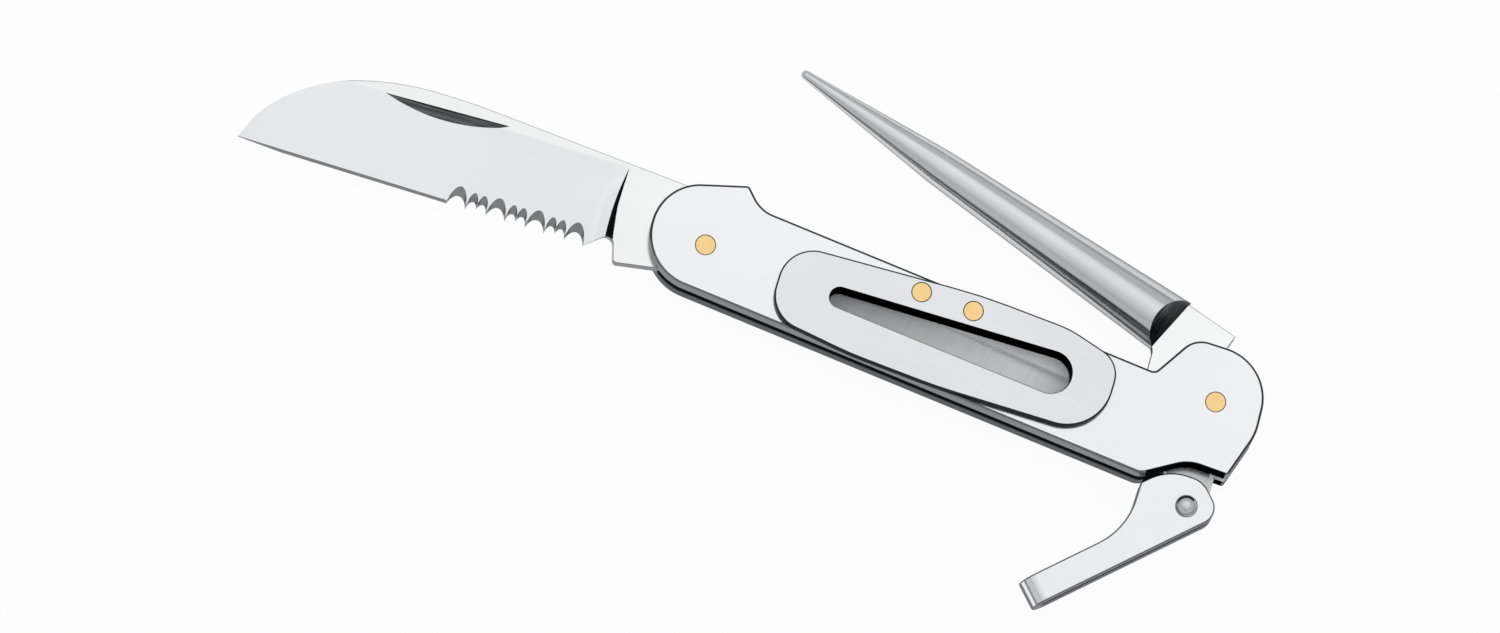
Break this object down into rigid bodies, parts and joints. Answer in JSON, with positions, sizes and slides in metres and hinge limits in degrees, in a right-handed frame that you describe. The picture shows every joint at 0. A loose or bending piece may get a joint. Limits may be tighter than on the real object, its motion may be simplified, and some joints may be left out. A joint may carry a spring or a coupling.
{
  "type": "rigging knife",
  "caption": "Locking rigging knife with a part-serrated sheepfoot blade, a marlin spike, a shackle slot and a bail.",
  "frame": {"origin": "midway between the blade pivot and the spike pivot, on the rear scale's outer face", "axes": "+X from the blade pivot to the spike pivot, +Y towards the back that the spike folds on, +Z through the thickness to the front"},
  "size_m": [0.185, 0.0802, 0.0122],
  "materials": {
    "handle_steel": "satin stainless steel",
    "plate_steel": "lengthwise brushed stainless steel",
    "spring_steel": "satin stainless steel",
    "blade_steel": "fine satin ground stainless steel",
    "spike_steel": "polished stainless steel",
    "bail_steel": "polished stainless steel",
    "brass": "satin brass, ground flush"
  },
  "bodies": {
    "handle": {"rear_scale": "handle_steel", "front_scale": "handle_steel", "key_plate": "plate_steel", "blade_pivot": "brass", "spike_pivot": "brass", "spring_rivet": "brass", "lock_rivet": "brass", "blade_spring": "spring_steel"},
    "blade": {"blade": "blade_steel"},
    "spike": {"marlin_spike": "spike_steel"},
    "lock": {"lock_spring": "spring_steel", "bail_rivet": "bail_steel"},
    "bail": {"bail": "bail_steel"}
  },
  "joints": [
    {"name": "blade_hinge", "type": "hinge", "parent": "handle", "child": "blade", "pos_m": [-0.0465, 0, 0.0052], "axis": [0, 0, 1], "range_deg": [0, 172]},
    {"name": "spike_hinge", "type": "hinge", "parent": "handle", "child": "spike", "pos_m": [0.0465, 0, 0.0052], "axis": [0, 0, 1], "range_deg": [-162.1, 14.6]},
    {"name": "lock_flex", "type": "hinge", "parent": "handle", "child": "lock", "pos_m": [0.0015, 0.0024, 0.0052], "axis": [0, 0, 1], "range_deg": [-1.4, 0], "stiffness_Nm_per_rad": 1, "springref_deg": 1.72},
    {"name": "bail_hinge", "type": "hinge", "parent": "lock", "child": "bail", "pos_m": [0.0469, -0.0188, 0.0052], "axis": [0, 0, 1], "range_deg": [-4, 140]}
  ]
}
